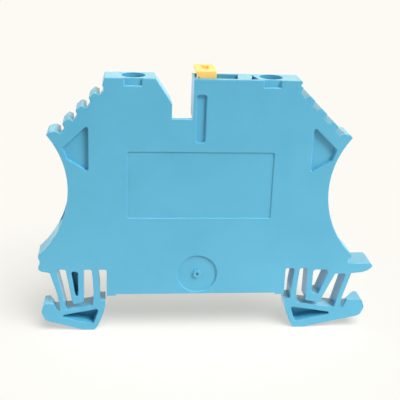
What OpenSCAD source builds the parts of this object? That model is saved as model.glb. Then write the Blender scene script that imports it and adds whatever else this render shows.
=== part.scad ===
// Knife-disconnect terminal block for a 35 mm mounting rail, in millimetres.
// X runs along the block, Y across the row of blocks and Z up from the rail seat.
// The closed side faces -Y. Depths are measured from that face towards the open side.

/* [Housing] */
// Width of one block across the row
pitch = 5.1; // [5:0.1:7]
// Thickness of the closed side wall
front_wall = 0.95; // [0.8:0.05:1.2]
// Thickness of the thin wall on the open side
back_wall = 0.45; // [0.3:0.05:0.7]
// Thickness of the ribs and of the rim round the open pockets
rib = 1; // [0.8:0.05:1.3]
// Height of the tower tops above the rail seat
top_z = 39.1; // [36:0.1:44]
// Half length of the block at the tower tops
tower_half = 16.2; // [15:0.1:17.5]
// Drop of the highest tooth nose below the tower tops
nose_drop = 1.23; // [0.8:0.01:1.6]
// Half length at the shoulder below the teeth
shoulder_half = 25.8; // [23.4:0.1:28]
// Height of the shoulder corner
shoulder_z = 29.45; // [27:0.05:32]
// Half length at the waist
waist_half = 22.45; // [20.5:0.05:23]
// Height of the waist
waist_z = 20; // [18:0.1:22]
// Half length at the base
base_half = 27.8; // [25:0.1:31]
// Height of the base corners
base_z = 7.65; // [6.9:0.05:8.4]
// Length of the hand tab on the right end
tab_len = 4.2; // [3:0.1:6]

/* [Gap between the towers] */
// Distance of the left tower's inner top corner from the middle
gap_top = 7.95; // [6:0.05:8.6]
// Distance of the gap's left side from the middle
gap_left = 5.15; // [4:0.05:5.6]
// Distance of the gap's right side from the middle
gap_right = 1.67; // [1.6:0.01:1.8]
// Height of the gap's floor
gap_z = 32.4; // [30:0.1:34]
// Height of the gap's upright left side, below the slanted part
gap_side = 2.47; // [0.5:0.01:2.7]

/* [Front recesses] */
// Width of the bare panel
panel_w = 24.9; // [18:0.1:26]
// Lower edge of the panel
panel_z = 14.8; // [13:0.1:16]
// Height of the panel
panel_h = 11.9; // [9:0.1:12.5]
// Depth of the panel
panel_depth = 0.2; // [0.1:0.05:0.3]
// Depth of the narrow upright recess beside the lever
slit_depth = 0.5; // [0.3:0.05:0.6]
// Depth of the four-sided recesses in the shoulders
facet_depth = 0.8; // [0.5:0.05:1]
// Radius of the round gate recess
gate_r = 3.5; // [2.5:0.1:3.7]
// Height of the gate recess's middle
gate_z = 4.15; // [3.9:0.05:5]
// Depth of the gate recess
gate_depth = 0.35; // [0.2:0.05:0.45]

/* [Rail feet] */
// Height of the rail seat above the soles of the feet
foot_drop = 6.8; // [6.4:0.1:7.6]
// Free height between the rail seat and the noses
rail_gap = 0.9; // [0.7:0.05:1.3]
// Thickness of the feet across the row
foot_depth = 3.6; // [3:0.1:4.6]
// Half the free distance between the two legs at the rail's edge
leg_x = 17.15; // [16.5:0.05:18]
// Thickness of the legs and of the outer ribs
leg_t = 1.1; // [0.8:0.05:1.3]
// Reach of the noses under the rail
nose_reach = 0.95; // [0.7:0.05:1.1]
// Thickness left behind the blind pockets of the feet
foot_web = 1; // [0.6:0.1:1.5]
// Distance of the left foot's outer rib inside the base corner
left_inset = 2.55; // [2:0.05:3.5]
// Distance of the right foot's outer rib inside the base corner
right_inset = 0.15; // [0:0.05:1]
// Reach of the left hook beyond its rib
left_hook = 2.25; // [1.8:0.05:4]
// Reach of the right hook beyond its rib
right_hook = 3.45; // [2.5:0.05:4.5]

/* [Screw clamps] */
// Distance of each clamping screw from the middle
clamp_x = 11.46; // [10.5:0.02:12.5]
// Diameter of the screwdriver bores
bore_d = 3.9; // [3.6:0.05:4.1]
// Diameter of the clamping screw's thread
screw_d = 2.5; // [2:0.1:2.6]
// Height of the screw's head
head_h = 2; // [1.6:0.1:2.6]
// Width of the screwdriver slot
slot_w = 0.65; // [0.5:0.05:0.9]
// Depth of the screwdriver slot
slot_depth = 1; // [0.6:0.1:1.4]
// Height of the current bars' top at the clamps
bar_z = 24.7; // [23:0.1:27]
// Thickness of the current bars
bar_t = 1; // [0.8:0.05:1.2]
// Length of the yoke along the wire
yoke_len = 5.2; // [4.6:0.1:5.6]
// Thickness of the yoke's threaded top
yoke_top = 1.6; // [1.2:0.1:1.9]
// Thickness of the yoke's floor
yoke_floor = 0.9; // [0.6:0.1:1.2]
// Height of the free space for the wire below the bar
wire_h = 3.1; // [2.7:0.1:3.5]
// Upward travel of the yoke
yoke_travel = 2.4; // [2:0.1:2.6]

/* [Knife disconnect] */
// Distance of the lever's pivot from the middle
pivot_x = 0.65; // [0.4:0.05:0.9]
// Depth of the lever's pivot below the floor of the gap
pivot_drop = 3.2; // [3:0.05:4]
// Diameter of the pivot pin
pin_d = 2.4; // [1.8:0.1:2.6]
// Diameter of the lever's hub
hub_d = 4; // [3.6:0.1:4.2]
// Width of the lever along the block
lever_w = 2.8; // [2.2:0.1:3]
// Height of the lever's front edge above the towers
lever_rise = 1.1; // [0.8:0.1:2]
// Rise of the lever's top from front to back
lever_slope = 0.55; // [0.1:0.01:0.8]
// Overhang of the finger lip on the lever's left
lip_w = 0.7; // [0.4:0.05:0.9]
// Swing of the lever to the right, in degrees
lever_swing = 18; // [14:1:20]
// Thickness of the knife blade
blade_t = 0.8; // [0.6:0.05:1]
// Width of the knife blade
blade_w = 2.2; // [1.8:0.1:2.4]
// Length of the knife blade below the pivot
blade_len = 9.5; // [8:0.1:11]
// Radius of the blade's round contact part at the pivot
disc_r = 3.2; // [2.7:0.05:3.5]
// Thickness of the steel of the jaw springs
spring_t = 0.3; // [0.2:0.05:0.4]

/* [Hidden] */
$fn = 48;

// Clearances, overshoot of the cuts and fineness of the arcs
side_play = 0.1;
seat_play = 0.03;
pin_play = 0.05;
head_play = 0.1;
yoke_play = 0.15;
end_play = 0.3;
jaw_play = 0.2;
swing_play = 0.26;
cut = 0.3;
corner_steps = 4;
arc_steps = 14;

// Depths behind the closed side
mid = (front_wall + pitch - back_wall) / 2;
inner_w = pitch - back_wall - front_wall - 2 * side_play;

// Heights and lengths of the clamps
bar_w = screw_d;
yoke_wall = (inner_w - bar_w) / 2 - side_play;
bar_bottom = bar_z - bar_t;
wire_floor = bar_bottom - wire_h;
yoke_bottom = wire_floor - yoke_floor;
yoke_roof = bar_z + jaw_play;
yoke_rim = yoke_roof + yoke_top;
chamber_bottom = yoke_bottom - end_play;
chamber_top = yoke_rim + yoke_travel + end_play;
head_z = chamber_top + end_play;
bore_z = head_z + head_h + end_play;
bore_step = 0.25;
head_bore_d = bore_d - 2 * bore_step;
head_d = head_bore_d - 2 * head_play;
chamber_half = yoke_len / 2 + yoke_play;
chamber_in = clamp_x - chamber_half;
chamber_out = clamp_x + chamber_half;
bar_end = chamber_out + 0.5;

// Slot of the lever and pocket of the knife
pivot_z = gap_z - pivot_drop;
lever_half = lever_w / 2;
lever_left = pivot_x - lever_half;
lever_right = pivot_x + lever_half;
lever_top = top_z + lever_rise;
lip_t = 0.2;
tang_w = 1.6;
tang_h = 6;
gap_wall = 0.37;
slot_left = -gap_right + gap_wall;
swing_arm = (top_z - pivot_z + lever_half * sin(lever_swing)) / cos(lever_swing);
channel_x = pivot_x + lever_half * cos(lever_swing) + swing_arm * sin(lever_swing) + swing_play;
channel_flare = 0.45;
channel_z = gap_z + 1.3;
pocket_half = chamber_in - rib;
pocket_z = min(chamber_bottom - 0.6, pivot_z - blade_len - 3 * end_play);
pocket_top = gap_z - rib;
gap_wall_z = pivot_z + disc_r - end_play;

// Jaws of the current bars
bend_r = 0.3;
bend_gap = 0.7;
jaw_gap = blade_t + 0.1;
jaw_h = 2.2;
jaw_grip = 1.5;
jaw_left_end = pivot_x - hub_d / 2 - jaw_play;
jaw_left_root = pivot_x - disc_r - jaw_grip;
jaw_right_end = pivot_x - 0.35;
jaw_right_slot = pivot_x + blade_w / 2 + jaw_play;
jaw_right_root = jaw_right_slot + jaw_grip;
jaw_right_z = pivot_z - blade_len + 1.4;

// Underside of the body and heights of its ends
seat_out = leg_x - 1.2;
seat_in = seat_out - 1.65;
belly_z = 0.3;
tab_top = base_z - 1.67;
nick_z = base_z - 1.15;
wing_z = base_z - 2.55;
end_z = base_z - 3.6;

// Feet, in distances from the middle and heights above the soles
root_h = foot_drop + wing_z;
nose_h = foot_drop - rail_gap;
leg_out = leg_x + leg_t;
hook_floor = 3.95;
tongue_h = 5.6;
rib_lean = 1.6;
hook_gap = 1.7;
left_relief = 0.85;
right_relief = 2.3;
left_rib_x = base_half - left_inset;
right_rib_x = base_half - right_inset;
left_hook_h = 5.26;
right_hook_h = 5.5;
left_slot_h = root_h;
right_slot_h = root_h - 1.1;

// Tongues (start, root, tip) and their slots (start, upper end, lower end), as shares of the room there
left_tongue = [0.27, 0.75, 0.6];
right_tongue = [0.2, 0.77, 0.53];
left_slot = [0.32, 0.71, 0.48];
right_slot = [0.2, 0.77, 0.46];

function direction(v) = v / norm(v);
function mirrored(points) = [for (i = [len(points) - 1:-1:0]) [-points[i].x, points[i].y, points[i][2]]];
function spot(p) = [p.x, p.y];
function between(a, b, share) = a + (b - a) * share;

// One corner at p between its neighbours a and b, rounded to radius r where there is room
function fillet(a, p, b, r) =
    is_undef(r) ? [p] :
    let (
        u = direction(a - p),
        v = direction(b - p),
        half = acos(u * v) / 2,
        reach = min(r / tan(half), norm(a - p) / 2, norm(b - p) / 2),
        radius = reach * tan(half),
        centre = p + direction(u + v) * radius / sin(half),
        first = p + u * reach - centre,
        last = p + v * reach - centre,
        start = atan2(first.y, first.x),
        turn = atan2(first.x * last.y - first.y * last.x, first * last)
    )
    [for (i = [0:corner_steps])
        let (angle = start + turn * i / corner_steps)
        centre + radius * [cos(angle), sin(angle)]];

// Outline through corners given as [x, z] or [x, z, radius]
function rounded(c) = [
    for (i = [0:len(c) - 1])
        each fillet(spot(c[(i + len(c) - 1) % len(c)]), spot(c[i]), spot(c[(i + 1) % len(c)]), c[i][2])
];

// The ends' inward arcs, which meet upright at the waist
function arc_r(dx, dz) = (dx * dx + dz * dz) / (2 * dx);
upper_r = arc_r(shoulder_half - waist_half, shoulder_z - waist_z);
lower_r = arc_r(base_half - waist_half, waist_z - base_z);
function waist_x(z) =
    let (r = z > waist_z ? upper_r : lower_r)
    waist_half + r - sqrt(r * r - (z - waist_z) * (z - waist_z));
function waist_arc(from, to) = [
    for (i = [1:arc_steps])
        let (z = between(from, to, i / arc_steps))
        [waist_x(z), z]
];

// Extrudes an outline drawn in X and Z between two depths
module layer(from, to) {
    translate([0, to - pitch / 2, 0])
        rotate([90, 0, 0])
            linear_extrude(to - from) children();
}

// Upright round bar or bore in the middle of the clamps
module upright(x, d, bottom, top) {
    translate([x, mid - pitch / 2, bottom]) cylinder(d = d, h = top - bottom);
}

module at_pivot() {
    translate([pivot_x, pivot_z]) children();
}

// Marker teeth of one side, stepped from the tower's corner to the brow above the shoulder
tooth_count = 4;
tooth_corners = [[0, 0], [-0.37, -0.8], [0.42, -1.65], [1.2, -1.25]];
nose = [tower_half + 0.4, top_z - nose_drop];
brow = [shoulder_half - 0.55, shoulder_z + 0.5];
brow_gap = [0.94, -0.16];
tooth_step = (brow - brow_gap - nose - tooth_corners[3]) / (tooth_count - 1);
function tooth(k) = [for (c = tooth_corners) nose + k * tooth_step + c];

function flank(nick) = concat(
    [[tower_half, top_z]],
    [for (c = nick) [tower_half, top_z] + c],
    [for (k = [0:tooth_count - 1]) each tooth(k)],
    [brow, [shoulder_half, shoulder_z, 0.2]],
    waist_arc(shoulder_z, waist_z),
    waist_arc(waist_z, base_z)
);

// Deeper grooves between the teeth, behind the closed side wall
module tooth_grooves() {
    groove_h = 1.8;
    layer(front_wall, pitch + cut)
        for (k = [0:tooth_count - 1])
            translate(tooth(k)[2])
                polygon([[-0.6, 0.8], [-0.6, -groove_h], [0.05, -groove_h], [0.05, 0.2]]);
}

// Small nick in the right tower's outer top corner
tower_nick = [[0.19, -0.29], [-0.15, -0.73]];

// Right end with the hand tab, from the base corner down
function right_end() =
    let (tab_in = base_half - 0.6, tip = base_half + tab_len)
    [
        [base_half, base_z - 0.5, 0.2], [tab_in, tab_top + 0.77], [tab_in, tab_top],
        [tip - 0.5, tab_top, 0.5], [tip, tab_top - 0.58, 0.5], [tip - 0.9, tab_top - 1.38, 0.5],
        [tip - 1.85, end_z + 0.2], [base_half + 0.5, end_z]
    ];

// Left end with the latch nick, from below up to the base corner
nick_h = 0.9;
nick_d = 0.4;
function left_end() = [
    [-base_half + 2, end_z + 0.35, 0.3], [-base_half + 1.7, end_z + 0.5, 0.3],
    [-base_half + 0.45, end_z + 0.72, 0.3], [-base_half, nick_z - 1.3, 0.3],
    [-base_half, nick_z - nick_h, 0.2], [-base_half + nick_d, nick_z, 0.2], [-base_half, nick_z + nick_h, 0.2]
];

function underside() = [
    [right_rib_x - 2.75, end_z], [right_rib_x - 2.75, wing_z], [seat_out, wing_z, 0.35], [seat_out, 0],
    [seat_in, 0], [seat_in, belly_z], [-seat_in, belly_z], [-seat_in, 0],
    [-seat_out, 0], [-seat_out, wing_z, 0.35], [-left_rib_x + 0.25, wing_z]
];

function towers() = [
    [-gap_top, top_z], [-gap_left, gap_z + gap_side], [-gap_left, gap_z],
    [-gap_right, gap_z], [-gap_right, top_z]
];

module body_outline() {
    polygon(rounded(concat(
        flank(tower_nick), right_end(), underside(), left_end(), mirrored(flank([])), towers()
    )));
}

// Outline of one foot: leg, nose, sole, hook and the outer rib back up to the body
function foot_edge(rib_x, hook, hook_h) =
    let (
        leg_root = leg_x + 0.37,
        nose_end = leg_x - nose_reach,
        hook_x = rib_x + hook,
        heel_h = hook_h - 3.2,
        rib_edge = rib_x + leg_t / 2,
        rib_foot = rib_edge - rib_lean
    )
    [
        [leg_root - 0.8, root_h + rib], [leg_root - 0.8, root_h], [leg_root, root_h, 0.35],
        [leg_x, root_h - 3.9], [leg_x, nose_h],
        [nose_end, nose_h, 0.1], [nose_end, nose_h - 1.1], [nose_end + 0.35, nose_h - 2.6],
        [leg_x + 0.3, 1], [leg_x + 0.95, 0, 0.7], [leg_x + 2.85, 0.05],
        [hook_x - 0.7, heel_h, 1], [hook_x, heel_h + 1.7, 0.6], [hook_x - 0.5, hook_h, 0.5],
        [rib_x - rib_lean + hook_gap, hook_h, 0.15], [rib_foot + 0.5, hook_floor, 0.25],
        [rib_foot, hook_floor, 0.25], [rib_foot + 0.1, tongue_h], [rib_edge, root_h - 0.6],
        [rib_edge, root_h + rib]
    ];

// Opening of one foot round three sides of its tongue, closed at slot_h outside the tongue
function foot_opening(rib_x, tongue, slot_h) =
    let (
        rib_in = rib_x - leg_t / 2,
        start_x = tongue_start(rib_x, tongue),
        root_x = tongue_root(rib_x, tongue),
        tip_x = between(start_x, root_x, tongue[2])
    )
    [
        [leg_out + 0.3, root_h, 0.35], [leg_out + 0.1, root_h - 2.6], [leg_out, root_h - 4.9],
        [leg_out + 0.25, hook_floor + 1, 0.3], [rib_in - rib_lean, hook_floor + 0.1, 0.2],
        [rib_in, slot_h, 0.35], [root_x, slot_h, 0.35], [tip_x + 0.2, tongue_h + 0.2, 0.35],
        [tip_x, tongue_h - 0.5, 0.3], [start_x, tongue_h, 0.3], [start_x, root_h, 0.35]
    ];

// Slot down the middle of a tongue
function tongue_slot(start_x, root_x, slot) =
    let (
        inner = between(start_x, root_x, slot[0]),
        upper = between(start_x, root_x, slot[1]),
        lower = between(start_x, root_x, slot[2]),
        low = tongue_h + 1.2,
        high = root_h - 0.3
    )
    [[inner, high, 0.45], [upper, high, 0.45], [lower, low, 0.3], [inner, low, 0.3]];

function tongue_start(rib_x, tongue) = between(leg_out, rib_x - leg_t / 2, tongue[0]);
function tongue_root(rib_x, tongue) = between(leg_out, rib_x - leg_t / 2, tongue[1]);

module foot(rib_x, hook, hook_h, tongue, slot_h) {
    difference() {
        polygon(rounded(foot_edge(rib_x, hook, hook_h)));
        polygon(rounded(foot_opening(rib_x, tongue, slot_h)));
    }
}

// Blind pocket in the sole, from the toe to a long point
module sole_pocket(point_x) {
    polygon(rounded([[leg_x + 0.2, 4.24, 0.35], [leg_x + 1.2, 1.25, 0.35], [point_x, 2.85, 0.25]]));
}

module slot_outline(rib_x, tongue, slot) {
    polygon(rounded(tongue_slot(tongue_start(rib_x, tongue), tongue_root(rib_x, tongue), slot)));
}

// Slanted back corner of a hook, where a screwdriver tip goes in
module hook_corner(rib_x, relief) {
    gap_x = rib_x + leg_t / 2 - rib_lean + 0.25;
    translate([0, -pitch / 2, hook_floor])
        linear_extrude(3)
            polygon([
                [gap_x, 0], [rib_x - rib_lean + hook_gap + relief, foot_depth + cut],
                [gap_x, foot_depth + cut]
            ]);
}

// Both feet: the left tongue's slot is blind, the right one's goes through
module feet() {
    translate([0, 0, -foot_drop])
        difference() {
            layer(0, foot_depth) {
                mirror([1, 0, 0]) foot(left_rib_x, left_hook, left_hook_h, left_tongue, left_slot_h);
                foot(right_rib_x, right_hook, right_hook_h, right_tongue, right_slot_h);
            }
            layer(-cut, foot_depth - foot_web) {
                mirror([1, 0, 0]) sole_pocket(left_rib_x - 0.65);
                sole_pocket(right_rib_x - 1.9);
                mirror([1, 0, 0]) slot_outline(left_rib_x, left_tongue, left_slot);
            }
            layer(-cut, foot_depth + cut) slot_outline(right_rib_x, right_tongue, right_slot);
            mirror([1, 0, 0]) hook_corner(left_rib_x, left_relief);
            hook_corner(right_rib_x, right_relief);
        }
}

// Wire funnel of one side, from the chamber out to the concave end
funnel_start = [chamber_out - cut, wire_floor + side_play];
funnel_end = [waist_half + 2.2, waist_z - 7.8];
function funnel_z(x) =
    between(funnel_start.y, funnel_end.y, (x - funnel_start.x) / (funnel_end.x - funnel_start.x));
module wire_funnel() {
    polygon([
        funnel_start, [funnel_start.x, bar_bottom - side_play], [waist_half + 1, bar_bottom - 1.2],
        [waist_half + 4, waist_z - 5], funnel_end
    ]);
}

// Chamber, funnel, bores and bar seat of one clamp
module clamp_space() {
    layer(front_wall, pitch + cut)
        translate([chamber_in, chamber_bottom]) square([2 * chamber_half, chamber_top - chamber_bottom]);
    layer(front_wall, pitch - back_wall) wire_funnel();
    upright(clamp_x, head_bore_d, chamber_top - cut, bore_z);
    upright(clamp_x, bore_d, bore_z, top_z + cut);
    layer(mid - bar_w / 2 - seat_play, pitch + cut)
        translate([pocket_half - cut, bar_bottom - seat_play])
            square([bar_end + seat_play - pocket_half + cut, bar_t + 2 * seat_play]);
}

// Open pockets of the shoulder and of the wing on one side
module side_pockets() {
    inner = bar_end + rib;
    outer = shoulder_half - 2.8;
    sill = bar_z + rib + 0.2;
    slope = tooth_step.y / tooth_step.x;
    notch = tooth(0)[2] - [0, rib * sqrt(1 + slope * slope)];
    crest = notch.y + slope * (inner - notch.x);
    low = base_z + 2;
    rim = waist_half + 0.2;
    layer(front_wall + facet_depth, pitch + cut)
        polygon(rounded([
            [inner, crest, 0.3], [outer, crest + slope * (outer - inner), 0.5],
            [waist_half - 0.6, sill, 0.5], [inner, sill, 0.5]
        ]));
    layer(front_wall, pitch + cut)
        polygon(rounded([
            [seat_out, wing_z + rib, 0.5], [base_half - 2.2, wing_z + rib, 0.5],
            [waist_x(low) - 1.5 * rib, low, 0.5], [rim, funnel_z(rim) - 2 * rib, 0.5],
            [seat_out, funnel_z(seat_out) - 2 * rib, 0.5]
        ]));
}

// Pocket of the knife, with the lever's slot above it
module mechanism_pocket() {
    lever_gap = lever_right + 0.25;
    layer(front_wall, pitch + cut)
        polygon([
            [-pocket_half, pocket_z], [pocket_half, pocket_z], [pocket_half, pocket_top],
            [channel_x, pocket_top], [channel_x, channel_z], [lever_gap, channel_z],
            [lever_gap, top_z + cut], [lever_left - side_play, top_z + cut],
            [lever_left - side_play, gap_wall_z],
            [-gap_right, gap_wall_z], [-gap_right, gap_z + cut], [-gap_left, gap_z + cut],
            [-gap_left, pocket_top], [-pocket_half, pocket_top]
        ]);
    translate([0, -pitch / 2, gap_wall_z])
        linear_extrude(top_z - gap_wall_z + cut)
            polygon([
                [slot_left, front_wall], [channel_x, front_wall],
                [channel_x + channel_flare, pitch - back_wall], [slot_left, pitch - back_wall]
            ]);
}

// Three open cells between ribs in the lower body
module belly_pockets() {
    cell = (2 * seat_in - 2 * rib) / 3;
    for (i = [-1:1])
        layer(front_wall, pitch + cut)
            translate([i * (cell + rib) - cell / 2, belly_z + rib])
                square([cell, pocket_z - belly_z - 2 * rib]);
}

// Four-sided recess in one shoulder
module facet() {
    inner = waist_half - 3.5;
    upper = shoulder_z - 2.2;
    lower = shoulder_z - 4.15;
    polygon(rounded([
        [inner, shoulder_z + 1.85, 0.3], [waist_x(upper) - 1.12, upper, 0.3],
        [waist_x(lower) - 0.92, lower, 0.3], [inner, shoulder_z - 6.35, 0.3]
    ]));
}

module front_recesses() {
    panel_r = 0.4;
    slit_r = 0.4;
    slit_x = [pivot_x - 1.77, pivot_x - 0.14];
    slit_z = [pivot_z - 0.87, top_z - 2.63];
    notch_w = 2.9;
    notch_h = 1.26;
    notch_shift = -0.12;
    boss_r = 0.7;
    dimple_r = 0.25;
    layer(-cut, panel_depth)
        polygon(rounded([
            [-panel_w / 2, panel_z, panel_r], [panel_w / 2, panel_z, panel_r],
            [panel_w / 2, panel_z + panel_h, panel_r], [-panel_w / 2, panel_z + panel_h, panel_r]
        ]));
    layer(-cut, slit_depth)
        polygon(rounded([
            [slit_x[0], slit_z[0], slit_r], [slit_x[1], slit_z[0], slit_r],
            [slit_x[1], slit_z[1], slit_r], [slit_x[0], slit_z[1], slit_r]
        ]));
    for (x = [-clamp_x, clamp_x])
        layer(-cut, slit_depth)
            translate([x + notch_shift - notch_w / 2, top_z - notch_h]) square([notch_w, notch_h + cut]);
    layer(-cut, gate_depth)
        translate([0, gate_z]) {
            difference() {
                circle(gate_r);
                circle(boss_r);
            }
            circle(dimple_r);
        }
    layer(-cut, facet_depth) {
        facet();
        mirror([1, 0, 0]) facet();
    }
}

// Three-cornered hole for a test probe, beside the right bore
module test_hole() {
    depth = 6;
    translate([clamp_x - 2.96, front_wall - 0.15 - pitch / 2, top_z - depth])
        linear_extrude(depth + cut) polygon([[-0.65, 0], [0.65, 0], [0, 3.3]]);
}

module housing() {
    color("#62B4D2") {
        difference() {
            layer(0, pitch) body_outline();
            clamp_space();
            mirror([1, 0, 0]) clamp_space();
            side_pockets();
            mirror([1, 0, 0]) side_pockets();
            tooth_grooves();
            mirror([1, 0, 0]) tooth_grooves();
            mechanism_pocket();
            belly_pockets();
            front_recesses();
            test_hole();
        }
        feet();
        layer(front_wall - cut, mid + inner_w / 2) at_pivot() circle(d = pin_d);
    }
}

// Bent strip of one current bar, with the slot of its jaw cut by the children
module current_bar(outline) {
    color("#C9CDD1")
        difference() {
            layer(mid - bar_w / 2, mid + bar_w / 2) polygon(rounded(outline));
            layer(mid - jaw_gap / 2, mid + jaw_gap / 2) children();
        }
}

// Bar that rises from the left clamp and holds the blade's round part
module busbar_left() {
    rise = -pocket_half + bend_gap;
    arm = pivot_z - bar_t / 2;
    low = pivot_z - jaw_h / 2;
    current_bar([
        [-bar_end, bar_bottom], [rise + bar_t, bar_bottom, bend_r + bar_t], [rise + bar_t, arm, bend_r],
        [jaw_left_root, arm], [jaw_left_root, low], [jaw_left_end, low],
        [jaw_left_end, low + jaw_h], [jaw_left_root, low + jaw_h], [jaw_left_root, arm + bar_t],
        [rise, arm + bar_t, bend_r + bar_t], [rise, bar_z, bend_r], [-bar_end, bar_z]
    ])
        at_pivot() circle(disc_r + jaw_play);
}

// Bar that falls from the right clamp to the jaw of the blade's tip
module busbar_right() {
    fall = pocket_half - bend_gap - bar_t;
    arm = jaw_right_z - bar_t / 2;
    low = jaw_right_z - jaw_h / 2;
    current_bar([
        [bar_end, bar_z], [fall, bar_z, bend_r + bar_t], [fall, arm + bar_t, bend_r],
        [jaw_right_root, arm + bar_t], [jaw_right_root, low + jaw_h], [jaw_right_end, low + jaw_h],
        [jaw_right_end, low], [jaw_right_root, low], [jaw_right_root, arm],
        [fall + bar_t, arm, bend_r + bar_t], [fall + bar_t, bar_bottom, bend_r], [bar_end, bar_bottom]
    ])
        translate([jaw_right_end - cut, low - cut])
            square([jaw_right_slot - jaw_right_end + cut, jaw_h + 2 * cut]);
}

// Steel clip over a jaw: two legs from x1 to x2 and a bridge over the top from b1 to b2
module jaw_spring(x1, x2, b1, b2, jaw_z) {
    inside = bar_w / 2 + seat_play;
    top = jaw_z + jaw_h / 2 + seat_play;
    color("#9AA0A6")
        difference() {
            layer(mid - inside - spring_t, mid + inside + spring_t) {
                translate([x1, jaw_z - jaw_h / 2]) square([x2 - x1, top + seat_play - jaw_z + jaw_h / 2]);
                translate([b1, jaw_z]) square([b2 - b1, top + spring_t - jaw_z]);
            }
            layer(mid - inside, mid + inside) {
                translate([x1 - cut, jaw_z - jaw_h]) square([x2 - x1 + 2 * cut, top - jaw_z + jaw_h]);
                translate([x1 - cut, top - seat_play]) square([b1 - x1 + cut, 2 * spring_t]);
                translate([b2, top - seat_play]) square([x2 - b2 + cut, 2 * spring_t]);
            }
        }
}

module jaw_spring_left() {
    jaw_spring(jaw_left_root, jaw_left_end - jaw_play, jaw_left_root, pivot_x - disc_r - jaw_play, pivot_z);
}

module jaw_spring_right() {
    jaw_spring(jaw_right_end + jaw_play, jaw_right_root, jaw_right_slot, jaw_right_root, jaw_right_z);
}

// Yoke of one clamp: a steel loop with a threaded top
module clamp_yoke(x) {
    wall_out = inner_w / 2;
    wall_in = wall_out - yoke_wall;
    color("#AEB4BA")
        difference() {
            layer(mid - wall_out, mid + wall_out)
                translate([x - yoke_len / 2, yoke_bottom]) square([yoke_len, yoke_rim - yoke_bottom]);
            layer(mid - wall_in, mid + wall_in)
                translate([x - yoke_len / 2 - cut, wire_floor])
                    square([yoke_len + 2 * cut, yoke_roof - wire_floor]);
            upright(x, screw_d + 2 * pin_play, yoke_roof - cut, yoke_rim + cut);
        }
}

module clamp_yoke_left() {
    clamp_yoke(-clamp_x);
}

module clamp_yoke_right() {
    clamp_yoke(clamp_x);
}

// Slotted clamping screw that stands on the current bar
module clamp_screw(x) {
    color("#C4C8CC")
        difference() {
            union() {
                upright(x, screw_d, bar_z + seat_play, head_z + cut);
                upright(x, head_d, head_z, head_z + head_h);
            }
            layer(mid - head_d, mid + head_d)
                translate([x - slot_w / 2, head_z + head_h - slot_depth]) square([slot_w, slot_depth + cut]);
        }
}

module clamp_screw_left() {
    clamp_screw(-clamp_x);
}

module clamp_screw_right() {
    clamp_screw(clamp_x);
}

// Wedge above the lever's sloping top, drawn in Y and Z
module lever_slant() {
    front = mid - inner_w / 2 - pitch / 2;
    back = front + inner_w;
    overrun = cut * lever_slope / inner_w;
    room = lever_slope + cut;
    translate([lever_left - lip_w - cut, 0, 0])
        rotate([90, 0, 90])
            linear_extrude(lever_w + lip_w + 2 * cut)
                polygon([
                    [front - cut, lever_top - overrun], [front - cut, lever_top + room],
                    [back + cut, lever_top + room], [back + cut, lever_top + lever_slope + overrun]
                ]);
}

// Square recess for a driver in the lever's top
module driver_recess() {
    across = 1.25;
    along = 1.7;
    depth = 0.5;
    behind_mid = 0.5;
    translate([pivot_x - lip_w / 2 - across / 2, mid - pitch / 2 + behind_mid - along / 2, lever_top - depth])
        cube([across, along, depth + lever_slope + cut]);
}

// Lever with its hub and finger lip, slit from below for the blade
module disconnect_lever() {
    color("#FFCB6E")
        difference() {
            layer(mid - inner_w / 2, mid + inner_w / 2) {
                polygon(rounded([
                    [lever_left, pivot_z], [lever_right, pivot_z],
                    [lever_right, lever_top + lever_slope, 0.5],
                    [lever_left - lip_w, lever_top + lever_slope],
                    [lever_left - lip_w, lever_top - lip_t], [lever_left, top_z]
                ]));
                at_pivot() circle(d = hub_d);
            }
            lever_slant();
            driver_recess();
            layer(mid - blade_t / 2 - seat_play, mid + blade_t / 2 + seat_play)
                at_pivot() {
                    circle(disc_r + seat_play);
                    translate([-tang_w / 2 - seat_play, 0])
                        square([tang_w + 2 * seat_play, tang_h + seat_play]);
                }
            layer(-cut, pitch + cut) at_pivot() circle(d = pin_d + 2 * pin_play);
        }
}

// Knife blade: tang in the lever, round part at the pivot and arm down to the right jaw
module knife_blade() {
    color("#D2A679")
        layer(mid - blade_t / 2, mid + blade_t / 2)
            at_pivot()
                difference() {
                    union() {
                        circle(disc_r);
                        translate([-tang_w / 2, 0]) square([tang_w, tang_h]);
                        translate([-blade_w / 2, -blade_len]) square([blade_w, blade_len]);
                    }
                    circle(d = pin_d + 2 * pin_play);
                }
}

housing();
busbar_left();
busbar_right();
jaw_spring_left();
jaw_spring_right();
clamp_yoke_left();
clamp_yoke_right();
clamp_screw_left();
clamp_screw_right();
disconnect_lever();
knife_blade();
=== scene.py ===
import math

import bmesh
import bpy
from mathutils import Matrix, Vector
from mathutils.geometry import intersect_line_line_2d, intersect_point_line


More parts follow.
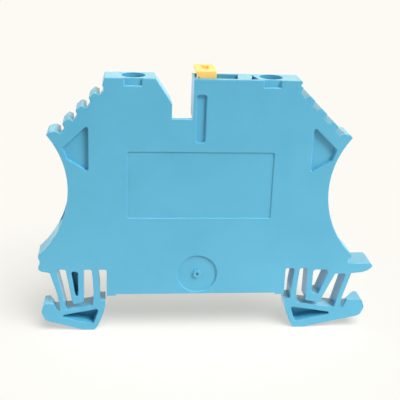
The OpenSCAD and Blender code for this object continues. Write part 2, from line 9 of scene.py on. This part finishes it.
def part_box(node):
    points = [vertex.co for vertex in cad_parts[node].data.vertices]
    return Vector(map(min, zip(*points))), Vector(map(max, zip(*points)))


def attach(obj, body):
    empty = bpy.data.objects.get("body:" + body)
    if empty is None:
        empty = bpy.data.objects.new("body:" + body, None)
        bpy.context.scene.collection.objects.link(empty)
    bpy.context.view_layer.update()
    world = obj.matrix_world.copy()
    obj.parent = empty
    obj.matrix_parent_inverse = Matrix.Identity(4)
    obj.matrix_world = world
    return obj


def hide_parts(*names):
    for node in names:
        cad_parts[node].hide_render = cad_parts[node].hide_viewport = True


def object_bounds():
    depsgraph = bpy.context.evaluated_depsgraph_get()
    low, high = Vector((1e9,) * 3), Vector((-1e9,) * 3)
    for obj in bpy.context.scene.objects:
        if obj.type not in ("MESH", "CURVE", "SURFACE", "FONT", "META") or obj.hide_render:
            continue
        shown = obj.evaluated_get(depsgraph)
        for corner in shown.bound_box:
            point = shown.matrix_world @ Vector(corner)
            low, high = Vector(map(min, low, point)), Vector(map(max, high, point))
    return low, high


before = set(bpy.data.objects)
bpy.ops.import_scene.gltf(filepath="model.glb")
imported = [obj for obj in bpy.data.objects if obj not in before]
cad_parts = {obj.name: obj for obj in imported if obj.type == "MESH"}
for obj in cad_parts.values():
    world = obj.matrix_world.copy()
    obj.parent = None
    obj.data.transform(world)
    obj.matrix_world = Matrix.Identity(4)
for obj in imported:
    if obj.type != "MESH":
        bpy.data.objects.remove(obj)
cad_low, cad_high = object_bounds()

# Housing: one flat shell of light blue polyamide 66, shot in a two-part mould. Its front is closed,
# its back is open for the metal parts, and the mould's edges leave small radii on every corner.
# The surface is finely spark eroded, so it is satin, with faint flow marks from the gate.
MM = 0.001
TOUCH = 0.01 * MM


def linear(code):
    """Linear RGBA of an sRGB hex colour."""
    srgb = [int(code[i:i + 2], 16) / 255 for i in (1, 3, 5)]
    return [c / 12.92 if c <= 0.04045 else ((c + 0.055) / 1.055) ** 2.4 for c in srgb] + [1.0]


def add(tree, kind, settings=None, links=None):
    """Adds a node with its properties or socket values, and links its inputs to their sources."""
    node = tree.nodes.new(kind)
    for name, value in (settings or {}).items():
        if isinstance(name, str) and hasattr(node, name):
            setattr(node, name, value)
        else:
            node.inputs[name].default_value = value
    for name, source in (links or {}).items():
        tree.links.new(source, node.inputs[name])
    return node


def moulded_plastic(name, light, deep, flow_mm, grain_mm, grain_depth_mm, glow):
    """Satin moulded plastic: soft flow marks in the colour, spark-eroded grain in gloss and relief."""
    material = bpy.data.materials.new(name)
    material.use_nodes = True
    tree = material.node_tree
    shader = tree.nodes["Principled BSDF"]
    shader.inputs["IOR"].default_value = 1.53
    shader.inputs["Subsurface Weight"].default_value = glow
    shader.inputs["Subsurface Radius"].default_value = (0.6, 0.8, 1.0)
    shader.inputs["Subsurface Scale"].default_value = 0.5 * MM
    place = add(tree, "ShaderNodeTexCoord").outputs["Object"]
    flow = add(tree, "ShaderNodeTexNoise",
               {"Scale": 1 / (flow_mm * MM), "Detail": 4.0, "Distortion": 0.8}, {"Vector": place})
    share = add(tree, "ShaderNodeMapRange", {"From Min": 0.3, "From Max": 0.7},
                {"Value": flow.outputs["Fac"]})
    colour = add(tree, "ShaderNodeMix", {"data_type": "RGBA", 6: linear(deep), 7: linear(light)},
                 {0: share.outputs["Result"]})
    tree.links.new(colour.outputs[2], shader.inputs["Base Color"])
    grain = add(tree, "ShaderNodeTexNoise",
                {"Scale": 1 / (grain_mm * MM), "Detail": 2.0}, {"Vector": place})
    gloss = add(tree, "ShaderNodeMapRange", {"To Min": 0.38, "To Max": 0.5},
                {"Value": grain.outputs["Fac"]})
    tree.links.new(gloss.outputs["Result"], shader.inputs["Roughness"])
    relief = add(tree, "ShaderNodeBump", {"Strength": 0.5, "Distance": grain_depth_mm * MM},
                 {"Height": grain.outputs["Fac"]})
    tree.links.new(relief.outputs["Normal"], shader.inputs["Normal"])
    return material


def joined_mesh(node):
    """A CAD node's loose triangles as one closed mesh with whole faces."""
    same_point = 0.0002 * MM
    flat_turn = math.radians(0.5)
    bm = bmesh.new()
    bm.from_mesh(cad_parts[node].data)
    bmesh.ops.remove_doubles(bm, verts=bm.verts, dist=same_point)
    bmesh.ops.dissolve_limit(bm, angle_limit=flat_turn, verts=bm.verts, edges=bm.edges)
    bm.edges.layers.float.new("bevel_weight_edge")
    return bm


def crowded(edge, radii):
    """Whether an edge next to this one is too short for their radii."""
    straight_on = -0.7
    for vert in edge.verts:
        along = (edge.other_vert(vert).co - vert.co).normalized()
        for other in vert.link_edges:
            away = (other.other_vert(vert).co - vert.co).normalized()
            room = (2.2 if other in radii else 1.3) * radii[edge]
            if other is not edge and along.dot(away) > straight_on and other.calc_length() < room:
                return True
    return False


def bevelled(bm, radii):
    """A mesh with each edge rounded to its own radius."""
    weight = bm.edges.layers.float["bevel_weight_edge"]
    widest = max(radii.values())
    for edge in bm.edges:
        edge[weight] = radii.get(edge, 0) / widest
    mesh = bpy.data.meshes.new("unrounded")
    bm.to_mesh(mesh)
    blank = bpy.data.objects.new("unrounded", mesh)
    bpy.context.scene.collection.objects.link(blank)
    bevel = blank.modifiers.new("radii", "BEVEL")
    bevel.limit_method = "WEIGHT"
    bevel.offset_type = "OFFSET"
    bevel.width = widest
    bevel.segments = 2
    bevel.use_clamp_overlap = False
    result = bmesh.new()
    result.from_object(blank, bpy.context.evaluated_depsgraph_get())
    bpy.data.objects.remove(blank)
    bpy.data.meshes.remove(mesh)
    return result


def crossed_corners(bm):
    """Corners of the faces whose outlines cross themselves."""
    corners = []
    for face in bm.faces:
        count = len(face.verts)
        turn = face.normal.to_track_quat("Z", "Y").inverted()
        flat = [(turn @ vert.co).to_2d() for vert in face.verts]
        sides = [(flat[i], flat[(i + 1) % count]) for i in range(count)]
        boxes = [(min(a.x, b.x), max(a.x, b.x), min(a.y, b.y), max(a.y, b.y)) for a, b in sides]
        for i in range(count - 2):
            for j in range(i + 2, count - (i == 0)):
                p, q = boxes[i], boxes[j]
                apart = p[0] > q[1] or q[0] > p[1] or p[2] > q[3] or q[2] > p[3]
                if not apart and intersect_line_line_2d(*sides[i], *sides[j]):
                    corners += [face.verts[k % count].co.copy() for k in (i, i + 1, j, j + 1)]
    return corners


def rounded(bm, radius_of):
    """A mesh with small radii on its sharp edges. Where one finds no room, it is made smaller."""
    least_turn = math.radians(28)
    least_radius = 0.03 * MM
    reach = 1.6
    sharp = [e for e in bm.edges if e.is_manifold and e.calc_face_angle(0) > least_turn]
    radii = {edge: radius_of(edge) for edge in sharp}

    def halve(edges):
        for edge in edges:
            radii[edge] *= 0.5
            if radii[edge] < least_radius:
                del radii[edge]

    while True:
        tight = [edge for edge in radii if crowded(edge, radii)]
        if not tight:
            break
        halve(tight)
    while True:
        result = bevelled(bm, radii)
        corners = crossed_corners(result)
        tight = []
        for edge in radii:
            start, end = (vert.co for vert in edge.verts)
            for corner in corners:
                share = min(max(intersect_point_line(corner, start, end)[1], 0), 1)
                if (start.lerp(end, share) - corner).length < reach * radii[edge]:
                    tight.append(edge)
                    break
        if not tight:
            bm.free()
            bmesh.ops.dissolve_degenerate(result, dist=0.001 * MM, edges=result.edges)
            return result
        result.free()
        halve(tight)


def finished_piece(name, bm, material):
    """An object at the origin from a mesh, with flat faces, smooth radii and crisp corners."""
    crisp_turn = math.radians(40)
    for face in bm.faces:
        face.smooth = True
    for edge in bm.edges:
        edge.smooth = not edge.is_manifold or edge.calc_face_angle(0) < crisp_turn
    mesh = bpy.data.meshes.new(name)
    bm.to_mesh(mesh)
    bm.free()
    mesh.materials.clear()
    mesh.materials.append(material)
    piece = bpy.data.objects.new(name, mesh)
    bpy.context.scene.collection.objects.link(piece)
    even = piece.modifiers.new("even_normals", "WEIGHTED_NORMAL")
    even.weight = 90
    even.keep_sharp = True
    return piece


def housing_radius(edge):
    """Wider radii round the closed front, as the mould's front half has them."""
    front_radius = 0.19 * MM
    other_radius = 0.1 * MM
    for face in edge.link_faces:
        if face.normal.y < -0.99 and face.calc_center_median().y < cad_low.y + TOUCH:
            return front_radius
    return other_radius


# Polyamide from an eroded mould gives the eye an even, soft sheen and hardly any cloudiness.
# The real grain is near 0.05 mm wide, and it is drawn as coarse as it needs to show.
polyamide = moulded_plastic("blue_polyamide", "#59AFCE", "#53A9C8", flow_mm=9, grain_mm=0.16,
                            grain_depth_mm=0.012, glow=0.08)
shell = rounded(joined_mesh("housing"), housing_radius)
housing_shell = finished_piece("housing_shell", shell, polyamide)
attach(housing_shell, "housing")
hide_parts("housing")

# Ejector marks: shallow round pads on the floors of the open pockets, where the mould's pins push
# the warm shell out. They are of the shell's own plastic, a few hundredths of a millimetre high.


def made_by_nodes(name, tree, start_points, values):
    """The plain mesh object that a Geometry Nodes tree makes from a few points."""
    mesh = bpy.data.meshes.new(name)
    mesh.from_pydata(start_points, [], [])
    start = bpy.data.objects.new(name + "_start", mesh)
    bpy.context.scene.collection.objects.link(start)
    maker = start.modifiers.new("maker", "NODES")
    maker.node_group = tree
    for item in tree.interface.items_tree:
        if item.item_type == "SOCKET" and item.in_out == "INPUT" and item.name in values:
            maker[item.identifier] = values[item.name]
    made = start.evaluated_get(bpy.context.evaluated_depsgraph_get())
    piece = bpy.data.objects.new(name, bpy.data.meshes.new_from_object(made))
    piece.data.name = name
    bpy.data.objects.remove(start)
    bpy.data.meshes.remove(mesh)
    bpy.context.scene.collection.objects.link(piece)
    return piece


def shape_tree(name, sizes):
    """An empty Geometry Nodes tree with named inputs for its sizes and its material."""
    tree = bpy.data.node_groups.new(name, "GeometryNodeTree")
    tree.interface.new_socket("Geometry", in_out="INPUT", socket_type="NodeSocketGeometry")
    for size, kind in sizes.items():
        tree.interface.new_socket(size, in_out="INPUT", socket_type="NodeSocket" + kind)
    tree.interface.new_socket("Material", in_out="INPUT", socket_type="NodeSocketMaterial")
    tree.interface.new_socket("Geometry", in_out="OUTPUT", socket_type="NodeSocketGeometry")
    return tree, add(tree, "NodeGroupInput").outputs


def end_tree(tree, given, shape):
    """Ends a tree in real geometry with its material."""
    real = add(tree, "GeometryNodeRealizeInstances", links={"Geometry": shape})
    coated = add(tree, "GeometryNodeSetMaterial",
                 links={"Geometry": real.outputs[0], "Material": given["Material"]})
    add(tree, "NodeGroupOutput", links={0: coated.outputs[0]})


pad_tree, given = shape_tree("ejector_pads", {"Pad Radius": "Float", "Pad Height": "Float"})
pad_points = add(pad_tree, "GeometryNodeMeshToPoints", links={"Mesh": given["Geometry"]})
pad = add(pad_tree, "GeometryNodeMeshCylinder", {"Vertices": 32},
          {"Radius": given["Pad Radius"], "Depth": given["Pad Height"]})
pads = add(pad_tree, "GeometryNodeInstanceOnPoints", {"Rotation": (math.pi / 2, 0, 0)},
           {"Points": pad_points.outputs[0], "Instance": pad.outputs["Mesh"]})
end_tree(pad_tree, given, pads.outputs[0])
pocket_floor = cad_low.y + 0.95 * MM
pad_spots = [(x * MM, pocket_floor, z * MM) for x, z in (
    (-9.4, 5.6), (0, 5.6), (9.4, 5.6), (-6.1, 14.6), (6.1, 20.2), (-21.8, 9.3), (21.8, 9.3),
    (-17.4, 9.3), (17.4, 9.3))]
marks = made_by_nodes("ejector_marks", pad_tree, pad_spots, {
    "Pad Radius": 0.8 * MM, "Pad Height": 0.08 * MM, "Material": polyamide})
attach(marks, "housing")

# Current bars: strips of copper, bent and tin plated, laid into seats of the housing from the back.
# The press that cuts the strip leaves its edges slightly round.


def plated_metal(name, light, dark, lines_mm, lines_axis, rough):
    """Metal with lines from rolling or forming along one axis and cloudy plating."""
    cloud_mm = 0.8
    drawn_out = 0.04
    material = bpy.data.materials.new(name)
    material.use_nodes = True
    tree = material.node_tree
    shader = tree.nodes["Principled BSDF"]
    shader.inputs["Metallic"].default_value = 1.0
    place = add(tree, "ShaderNodeTexCoord").outputs["Object"]
    stretch = [1 / (lines_mm * MM)] * 3
    stretch[lines_axis] *= drawn_out
    drawn = add(tree, "ShaderNodeMapping", {"vector_type": "POINT", "Scale": stretch},
                {"Vector": place})
    lines = add(tree, "ShaderNodeTexNoise", {"Scale": 1.0, "Detail": 3.0},
                {"Vector": drawn.outputs["Vector"]})
    cloud = add(tree, "ShaderNodeTexNoise", {"Scale": 1 / (cloud_mm * MM), "Detail": 3.0},
                {"Vector": place})
    share = add(tree, "ShaderNodeMapRange", {"From Min": 0.3, "From Max": 0.65},
                {"Value": cloud.outputs["Fac"]})
    colour = add(tree, "ShaderNodeMix", {"data_type": "RGBA", 6: linear(dark), 7: linear(light)},
                 {0: share.outputs["Result"]})
    tree.links.new(colour.outputs[2], shader.inputs["Base Color"])
    gloss = add(tree, "ShaderNodeMapRange", {"To Min": rough - 0.08, "To Max": rough + 0.1},
                {"Value": cloud.outputs["Fac"]})
    tree.links.new(gloss.outputs["Result"], shader.inputs["Roughness"])
    relief = add(tree, "ShaderNodeBump", {"Strength": 0.35, "Distance": 0.01 * MM},
                 {"Height": lines.outputs["Fac"]})
    tree.links.new(relief.outputs["Normal"], shader.inputs["Normal"])
    return material


# Tin is a pale, slightly cloudy metal, and the strip keeps rolling lines along its length. Here and
# on the other metals, the lines are drawn as coarse as they need to show.
tin_plate = plated_metal("tinned_copper_strip", "#C9C9C6", "#B6B7B5", lines_mm=0.12, lines_axis=0,
                         rough=0.3)
for side in ("left", "right"):
    bar = rounded(joined_mesh("busbar_" + side), lambda edge: 0.1 * MM)
    piece = finished_piece("current_bar_" + side, bar, tin_plate)
    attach(piece, "housing")
    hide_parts("busbar_" + side)

# Jaw springs: clips of bright spring steel, pushed over the jaws to press them onto the blade.
# The steel is cut and bent hard, so its corners stay tight.

# Hard-rolled steel is smooth and dark, so its faces are mirror-like.
spring_steel = plated_metal("bright_spring_steel", "#8B9095", "#7B8085", lines_mm=0.06, lines_axis=2,
                            rough=0.22)
for side in ("left", "right"):
    clip = rounded(joined_mesh("jaw_spring_" + side), lambda edge: 0.06 * MM)
    piece = finished_piece("jaw_clip_" + side, clip, spring_steel)
    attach(piece, "housing")
    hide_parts("jaw_spring_" + side)

# Clamp yokes: loops of zinc-plated steel strip that the screws pull up, so that the wire is pressed
# onto the bar. The strip's four bends are wide, and its floor is stamped with ridges that bite
# into the wire. They hang loose in their chambers.

# Zinc plate is a cool grey with a cloudy, half-dull shine.
zinc_plate = plated_metal("zinc_plated_steel", "#A9AFB6", "#9BA2AA", lines_mm=0.1, lines_axis=2,
                          rough=0.28)
ridge_tree, given = shape_tree("wire_ridges", {
    "Ridge Count": "Int", "First Ridge": "Vector", "Ridge Step": "Vector", "Ridge Radius": "Float",
    "Ridge Length": "Float"})
row = add(ridge_tree, "GeometryNodeMeshLine", links={
    "Count": given["Ridge Count"], "Start Location": given["First Ridge"],
    "Offset": given["Ridge Step"]})
ridge = add(ridge_tree, "GeometryNodeMeshCylinder", {"Vertices": 3},
            {"Radius": given["Ridge Radius"], "Depth": given["Ridge Length"]})
ridges = add(ridge_tree, "GeometryNodeInstanceOnPoints",
             {"Rotation": (math.pi / 2, -math.pi / 2, 0)},
             {"Points": row.outputs[0], "Instance": ridge.outputs["Mesh"]})
end_tree(ridge_tree, given, ridges.outputs[0])


def bend_radius(loop_low, loop_high):
    """Wide radii for the long outer edges of a bent loop, small ones for its cut edges."""
    outer_radius = 0.36 * MM
    cut_radius = 0.07 * MM

    def radius(edge):
        start, end = (vert.co for vert in edge.verts)
        outer = all(min(abs(start[i] - limit[i]) for limit in (loop_low, loop_high)) < TOUCH
                    and abs(start[i] - end[i]) < TOUCH for i in (1, 2))
        return outer_radius if outer else cut_radius
    return radius


floor_t = 0.9 * MM
ridge_pitch = 0.62 * MM
ridge_count = 7
for side in ("left", "right"):
    loop_low, loop_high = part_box("clamp_yoke_" + side)
    loop = rounded(joined_mesh("clamp_yoke_" + side), bend_radius(loop_low, loop_high))
    piece = finished_piece("yoke_loop_" + side, loop, zinc_plate)
    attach(piece, "yoke_" + side)
    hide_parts("clamp_yoke_" + side)
    middle = (loop_low + loop_high) / 2
    first_x = middle.x - (ridge_count - 1) / 2 * ridge_pitch
    teeth = made_by_nodes("yoke_ridges_" + side, ridge_tree, [(0, 0, 0)], {
        "Ridge Count": ridge_count, "First Ridge": (first_x, middle.y, loop_low.z + floor_t),
        "Ridge Step": (ridge_pitch, 0, 0), "Ridge Radius": 0.16 * MM, "Ridge Length": 2.4 * MM,
        "Material": zinc_plate})
    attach(teeth, "yoke_" + side)

# Clamping screws: slotted cheese-head screws of zinc-plated steel with a rolled thread of 0.5 mm
# pitch, which runs in the yoke's top. The head's rim and slot are rounded, and the tip stands on
# the bar.
thread_tree, given = shape_tree("rolled_thread", {
    "Foot": "Vector", "Turns": "Float", "Pitch": "Float", "Flank Radius": "Float",
    "Flank Height": "Float"})
rise = add(thread_tree, "ShaderNodeMath", {"operation": "MULTIPLY"},
           {0: given["Turns"], 1: given["Pitch"]})
helix = add(thread_tree, "GeometryNodeCurveSpiral", {"Resolution": 40}, {
    "Rotations": given["Turns"], "Start Radius": given["Flank Radius"],
    "End Radius": given["Flank Radius"], "Height": rise.outputs[0]})
level = add(thread_tree, "GeometryNodeSetCurveNormal", {"mode": "Z_UP"}, {"Curve": helix.outputs[0]})
flank = add(thread_tree, "GeometryNodeCurvePrimitiveCircle", {"Resolution": 4},
            {"Radius": given["Flank Height"]})
wide_flank = add(thread_tree, "GeometryNodeTransform", {"Scale": (1.0, 1.45, 1.0)},
                 {"Geometry": flank.outputs["Curve"]})
swept = add(thread_tree, "GeometryNodeCurveToMesh", {"Fill Caps": True},
            {"Curve": level.outputs[0], "Profile Curve": wide_flank.outputs[0]})
lifted = add(thread_tree, "GeometryNodeTransform", links={
    "Geometry": swept.outputs[0], "Translation": given["Foot"]})
end_tree(thread_tree, given, lifted.outputs[0])
thread_r = 1.25 * MM
core_r = 1.02 * MM
thread_pitch = 0.5 * MM
flank_h = 0.15 * MM
head_h = 2 * MM
plain_tip = 0.4 * MM
plain_ends = 0.7 * MM


def screw_radius(edge):
    """Wider radii on the head's rim and slot, small ones elsewhere."""
    below_slot = 30 * MM
    return 0.16 * MM if edge.verts[0].co.z > below_slot else 0.08 * MM


for side in ("left", "right"):
    screw_low, screw_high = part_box("clamp_screw_" + side)
    axis = (screw_low + screw_high) / 2
    screw = joined_mesh("clamp_screw_" + side)
    for vert in screw.verts:
        out = Vector((vert.co.x - axis.x, vert.co.y - axis.y, 0))
        if abs(out.length - thread_r) < 5 * TOUCH:
            vert.co -= out * (1 - core_r / thread_r)
    piece = finished_piece("slotted_screw_" + side, rounded(screw, screw_radius), zinc_plate)
    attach(piece, "screw_" + side)
    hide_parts("clamp_screw_" + side)
    shank = screw_high.z - head_h - screw_low.z
    turns = math.floor((shank - plain_ends) / thread_pitch)
    thread = made_by_nodes("screw_thread_" + side, thread_tree, [(0, 0, 0)], {
        "Foot": (axis.x, axis.y, screw_low.z + plain_tip), "Turns": float(turns),
        "Pitch": thread_pitch, "Flank Radius": thread_r - flank_h, "Flank Height": flank_h,
        "Material": zinc_plate})
    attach(thread, "screw_" + side)

# Knife blade: a stamped strip of copper alloy whose tang is pressed into the lever. Its disc turns
# in the left jaw, and its arm swings out of the right one. The press leaves its edges broken.

# Bare copper alloy is a warm, reddish metal with rolling lines.
copper_strip = plated_metal("rolled_copper_alloy", "#C9976A", "#B98556", lines_mm=0.1, lines_axis=2,
                            rough=0.28)
blade = rounded(joined_mesh("knife_blade"), lambda edge: 0.12 * MM)
knife = finished_piece("knife_contact", blade, copper_strip)
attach(knife, "lever")
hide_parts("knife_blade")

# Lever: yellow orange polyester, moulded in one piece with its hub, finger lip and driver recess.
# It snaps onto the housing's pin, and its slit grips the blade.

# This polyester lets light through a little, so its edges glow.
orange_plastic = moulded_plastic("orange_polyester", "#FFD07A", "#FFC866", flow_mm=5, grain_mm=0.16,
                                 grain_depth_mm=0.01, glow=0.1)
grip = rounded(joined_mesh("disconnect_lever"), lambda edge: 0.12 * MM)
lever_grip = finished_piece("lever_grip", grip, orange_plastic)
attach(lever_grip, "lever")
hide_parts("disconnect_lever")

# Floor: a wide sheet of white paper, laid flat under the block's soles. The camera sees it near
# white with the block's soft shadow on it. In reflections it has a painted glow that fades out
# towards the front, which paints a lighter reflection low on the block's front.
sole = cad_low.z
half = 1.5
corners = [(-half, -half, sole), (half, -half, sole), (half, half, sole), (-half, half, sole)]
floor_mesh = bpy.data.meshes.new("floor")
floor_mesh.from_pydata(corners, [], [(0, 1, 2, 3)])
floor = bpy.data.objects.new("floor", floor_mesh)
bpy.context.scene.collection.objects.link(floor)

# Paper is matt, so it shows light and shade alone. A glow of its own keeps its shadows pale.
paper = bpy.data.materials.new("white_paper")
paper.use_nodes = True
tree = paper.node_tree
tree.nodes.clear()
rays = add(tree, "ShaderNodeLightPath")
matt = add(tree, "ShaderNodeBsdfDiffuse", {"Color": linear("#D3D1CD")})
shaded = add(tree, "ShaderNodeBsdfDiffuse", {"Color": linear("#A7A5A1")})
glow = add(tree, "ShaderNodeEmission", {"Color": linear("#FFFDF6"), "Strength": 0.53})
bright = add(tree, "ShaderNodeAddShader", links={0: shaded.outputs[0], 1: glow.outputs[0]})
place = add(tree, "ShaderNodeTexCoord").outputs["Object"]
spot = add(tree, "ShaderNodeSeparateXYZ", links={0: place})
# Painted reflection: a glow seen only in reflections, strongest near the block and gone 110 mm in
# front of it.
fade = add(tree, "ShaderNodeMapRange",
           {"From Min": -110 * MM, "From Max": -30 * MM, "To Min": 0.0, "To Max": 1.9},
           {"Value": spot.outputs["Y"]})
painted_reflection_glow = add(tree, "ShaderNodeEmission", {"Color": linear("#FFFDF6")},
               {"Strength": fade.outputs["Result"]})
seen = add(tree, "ShaderNodeMath", {"operation": "MAXIMUM"},
           {0: rays.outputs["Is Camera Ray"], 1: rays.outputs["Is Transmission Ray"]})
mixed = add(tree, "ShaderNodeMixShader",
            links={0: seen.outputs[0], 1: matt.outputs[0], 2: bright.outputs[0]})
mixed = add(tree, "ShaderNodeMixShader",
            links={0: rays.outputs["Is Glossy Ray"], 1: mixed.outputs[0], 2: painted_reflection_glow.outputs[0]})
add(tree, "ShaderNodeOutputMaterial", links={"Surface": mixed.outputs[0]})
floor_mesh.materials.append(paper)

# Light: a soft key from the upper right in front, a fill from the left, one for the back, and a small
# pale card low in front. A window behind and the ceiling show only in the gloss of upper faces and
# edges. The floor has a softbox of its own, so that the block's shadow stays close to it.
scene = bpy.context.scene
scene.view_settings.view_transform = "Standard"
floor_only = bpy.data.collections.new("floor_only")
floor_only.objects.link(floor)
block_only = bpy.data.collections.new("block_only")
block_only.objects.link(floor)
block_only.collection_objects[0].light_linking.link_state = "EXCLUDE"
for name, lit, towards, strength, spread, tint, in_shade, in_gloss in (
        ("key", block_only, (-0.62, 0.52, -0.8), 3.65, 28, "#FFFFFF", True, True),
        ("fill", block_only, (0.85, 0.1, -0.5), 1.9, 60, "#FFFFFF", True, True),
        ("window", block_only, (-0.1, -0.9, -0.42), 1.1, 60, "#FFF2B8", False, True),
        ("back_fill", block_only, (-0.2, -1.0, -0.06), 1.9, 60, "#FFFFFF", True, False),
        ("ceiling", block_only, (0.2, 0.2, -0.96), 5.0, 40, "#FFFFFF", False, True),
        ("floor_softbox", floor_only, (-0.25, 0.42, -0.9), 4.05, 45, "#FFFFFF", True, True)):
    lamp = bpy.data.lights.new(name, "SUN")
    lamp.energy = strength
    lamp.angle = math.radians(spread)
    lamp.color = linear(tint)[:3]
    light = bpy.data.objects.new(name, lamp)
    light.rotation_euler = Vector(towards).to_track_quat("-Z", "Y").to_euler()
    light.visible_diffuse = in_shade
    light.visible_glossy = in_gloss
    light.light_linking.receiver_collection = lit
    scene.collection.objects.link(light)
card = bpy.data.lights.new("card", "AREA")
card.energy = 0.03
card.size = 60 * MM
card_light = bpy.data.objects.new("card", card)
card_light.location = Vector((90, -70, 0)) * MM
card_light.rotation_euler = Vector((-0.75, 0.65, 0.1)).to_track_quat("-Z", "Y").to_euler()
card_light.visible_camera = False
card_light.light_linking.receiver_collection = block_only
scene.collection.objects.link(card_light)
world = bpy.data.worlds.new("surround")
scene.world = world
world.use_nodes = True
tree = world.node_tree
tree.nodes.clear()
rays = add(tree, "ShaderNodeLightPath")
seen = add(tree, "ShaderNodeMath", {"operation": "MAXIMUM"},
           {0: rays.outputs["Is Camera Ray"], 1: rays.outputs["Is Glossy Ray"]})
seen = add(tree, "ShaderNodeMath", {"operation": "MAXIMUM"},
           {0: seen.outputs[0], 1: rays.outputs["Is Transmission Ray"]})
soft = add(tree, "ShaderNodeBackground", {"Color": linear("#FFFFFF"), "Strength": 0.02})
white = add(tree, "ShaderNodeBackground", {"Color": linear("#FAF8F2"), "Strength": 1.0})
mixed = add(tree, "ShaderNodeMixShader",
            links={0: seen.outputs[0], 1: soft.outputs[0], 2: white.outputs[0]})
add(tree, "ShaderNodeOutputWorld", links={"Surface": mixed.outputs[0]})

# Camera: above the front, a little to the left, at the photograph's place and angle. Yaw, pitch and
# roll are the turns to the right, down and about the line of sight.
camera_place = Vector((-14.0093, -132.249, 66.3052)) * MM
yaw, pitch, roll = (math.radians(a) for a in (6.16267, 20.24716, -2.226876))
camera_data = bpy.data.cameras.new("camera")
camera_data.lens = 72.945
camera_data.sensor_width = 36
camera_data.clip_start = 1 * MM
camera = bpy.data.objects.new("camera", camera_data)
scene.collection.objects.link(camera)
scene.camera = camera
level_ahead = Vector((math.sin(yaw), math.cos(yaw), 0))
ahead = level_ahead * math.cos(pitch) - Vector((0, 0, math.sin(pitch)))
right = Vector((math.cos(yaw), -math.sin(yaw), 0))
down = ahead.cross(right)
across = right * math.cos(roll) + down * math.sin(roll)
upward = right * math.sin(roll) - down * math.cos(roll)
turned = Matrix((across, upward, -ahead)).transposed().to_4x4()
camera.matrix_world = Matrix.Translation(camera_place) @ turned
